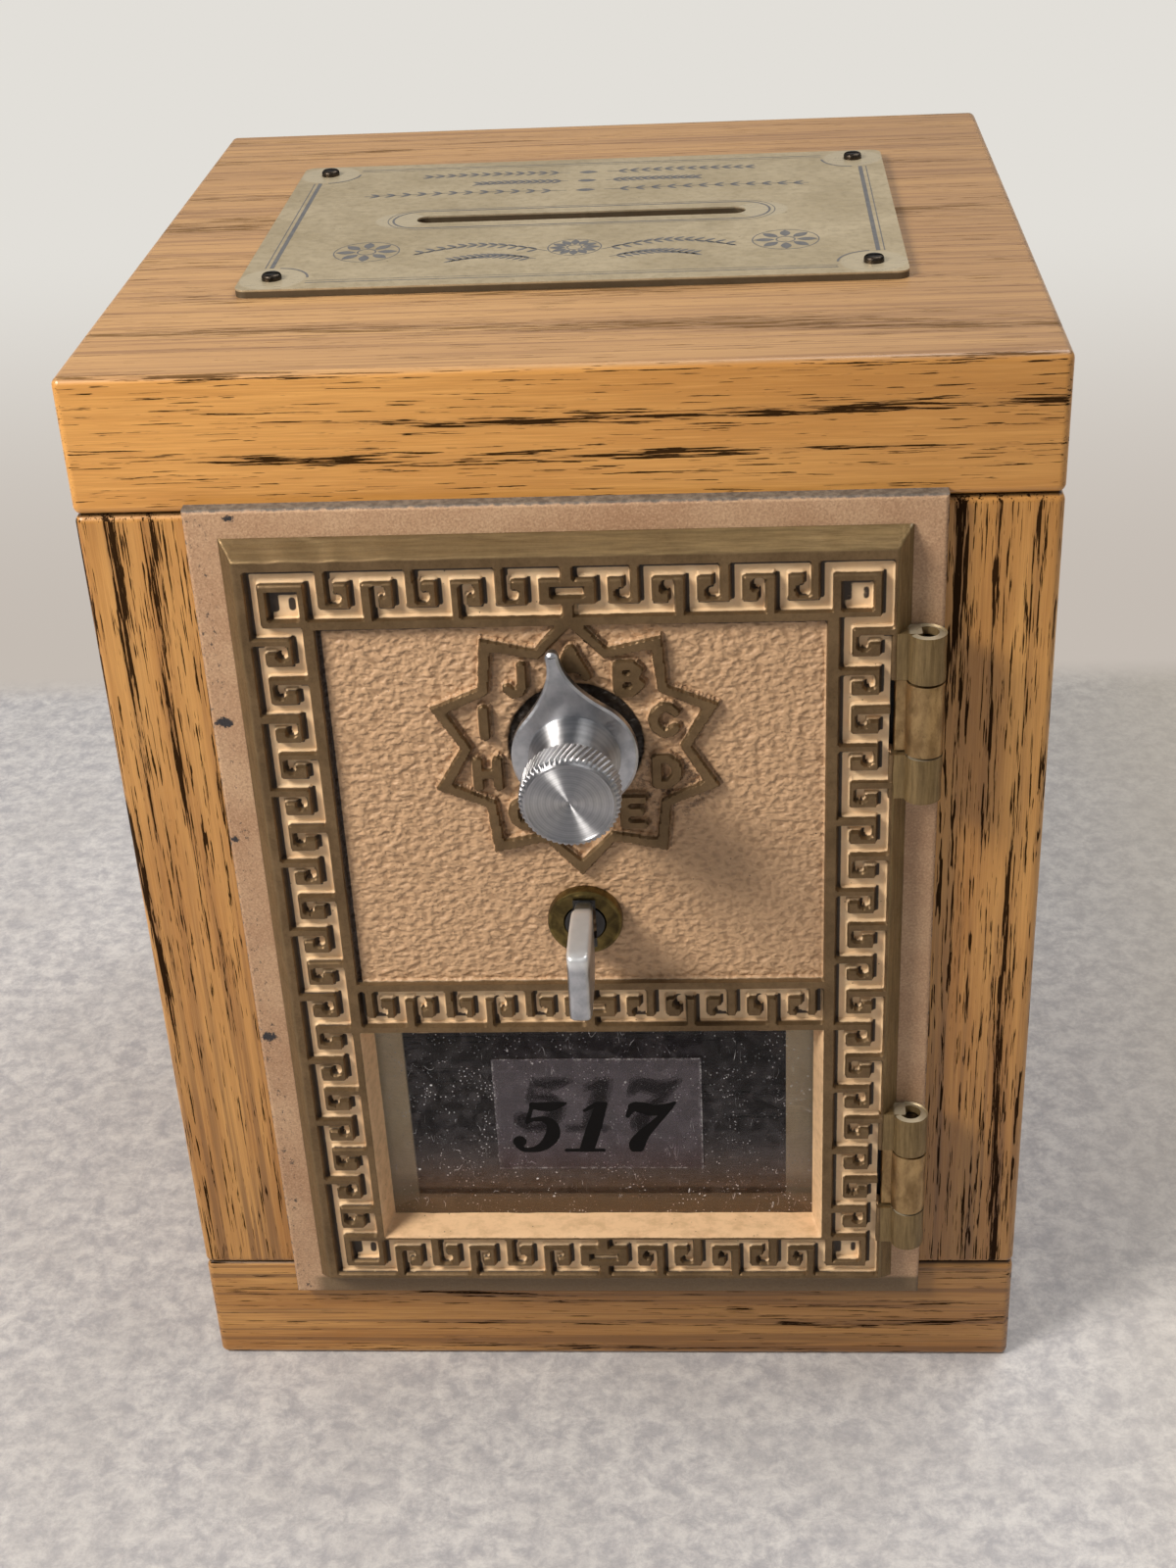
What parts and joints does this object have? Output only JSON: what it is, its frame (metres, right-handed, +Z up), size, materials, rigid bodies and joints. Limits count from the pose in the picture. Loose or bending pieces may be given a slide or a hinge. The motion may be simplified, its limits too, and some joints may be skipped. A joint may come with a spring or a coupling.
{
  "type": "coin bank with post office box door",
  "caption": "Oak coin bank with a cast brass post office box door in its frame: letter dial, thumb turn, sprung latch bolt, window and slotted coin plate.",
  "frame": {"origin": "middle of the oak box's flat underside", "axes": "+Z up, the door faces -Y, +X to the right as the door is faced; the hinges are on the +X side"},
  "size_m": [0.1142, 0.129, 0.1517],
  "materials": {
    "oak": "oiled open-pored oak, worn at the arrises",
    "dowel_wood": "plain turned dowel",
    "back_panel_wood": "thin oak panel, oiled",
    "engraved_brass": "brushed brass sheet with darkened engraving",
    "dark_screws": "blackened steel",
    "painted_frame": "sand-cast metal with old pinkish tan paint, chipped",
    "cast_brass": "dark cast brass, bare on the raised parts, tan paint left in the recesses",
    "steel_pins": "turned steel",
    "window_glass": "clear sheet glass",
    "decal_film": "clear film with printed figures",
    "sheet_brass": "rolled brass sheet",
    "lock_brass": "machined brass, slightly tarnished",
    "spring_steel": "bright drawn wire",
    "bright_aluminium": "turned and polished aluminium"
  },
  "bodies": {
    "box": {"top_board": "oak", "bottom_board": "oak", "left_side_board": "oak", "right_side_board": "oak", "board_dowels": "dowel_wood", "back_panel": "back_panel_wood", "back_panel_screws": "dark_screws", "coin_plate": "engraved_brass", "coin_plate_screws": "dark_screws", "door_frame": "painted_frame", "frame_screws": "dark_screws"},
    "door": {"door_casting": "cast_brass", "hinge_pin_upper": "steel_pins", "hinge_pin_lower": "steel_pins", "window_glass": "window_glass", "number_decal": "decal_film", "glass_retainer": "sheet_brass", "retainer_screws": "dark_screws", "lock_case": "lock_brass", "lock_case_screws": "dark_screws", "lock_cover": "sheet_brass", "lock_cover_screws": "dark_screws", "wheel_post": "lock_brass", "wheel_clip": "steel_pins", "wheel_spacers": "steel_pins", "handle_rose": "cast_brass", "bolt_guide_screws": "dark_screws", "spring_guide_pin": "steel_pins", "bolt_spring": "spring_steel"},
    "dial": {"dial_knob": "bright_aluminium", "dial_pointer": "bright_aluminium", "dial_spindle": "steel_pins", "drive_cam": "lock_brass"},
    "wheel_1": {"tumbler_wheel_1": "lock_brass"},
    "wheel_2": {"tumbler_wheel_2": "lock_brass"},
    "wheel_3": {"tumbler_wheel_3": "lock_brass"},
    "handle": {"latch_handle": "bright_aluminium", "bolt_cam": "lock_brass", "cam_nut": "steel_pins"},
    "bolt": {"latch_bolt": "lock_brass", "bolt_plate": "lock_brass", "bolt_fence": "lock_brass", "bolt_rivets": "steel_pins"}
  },
  "joints": [
    {"name": "door_swing", "type": "hinge", "parent": "box", "child": "door", "pos_m": [0.0417, -0.05885, 0.0742], "axis": [0, 0, 1], "range_deg": [0, 180]},
    {"name": "dial_turn", "type": "hinge", "parent": "door", "child": "dial", "pos_m": [0.0004, -0.05445, 0.104], "axis": [0, 1, 0], "continuous": true},
    {"name": "wheel_1_turn", "type": "hinge", "parent": "door", "child": "wheel_1", "pos_m": [0.0004, -0.05445, 0.104], "axis": [0, 1, 0], "range_deg": [-360, 360]},
    {"name": "wheel_2_turn", "type": "hinge", "parent": "door", "child": "wheel_2", "pos_m": [0.0004, -0.05445, 0.104], "axis": [0, 1, 0], "range_deg": [-360, 360]},
    {"name": "wheel_3_turn", "type": "hinge", "parent": "door", "child": "wheel_3", "pos_m": [0.0004, -0.05445, 0.104], "axis": [0, 1, 0], "range_deg": [-360, 360]},
    {"name": "handle_turn", "type": "hinge", "parent": "door", "child": "handle", "pos_m": [0.0004, -0.05445, 0.0792], "axis": [0, 1, 0], "range_deg": [0, 60]},
    {"name": "bolt_slide", "type": "slide", "parent": "door", "child": "bolt", "axis": [1, 0, 0], "range_m": [0, 0.005], "stiffness_N_per_m": 0.2, "deforming": ["bolt_spring"]}
  ],
  "couplings": [
    {"joint": "handle_turn", "follows": "bolt_slide", "rad_per_m": 209.44}
  ]
}
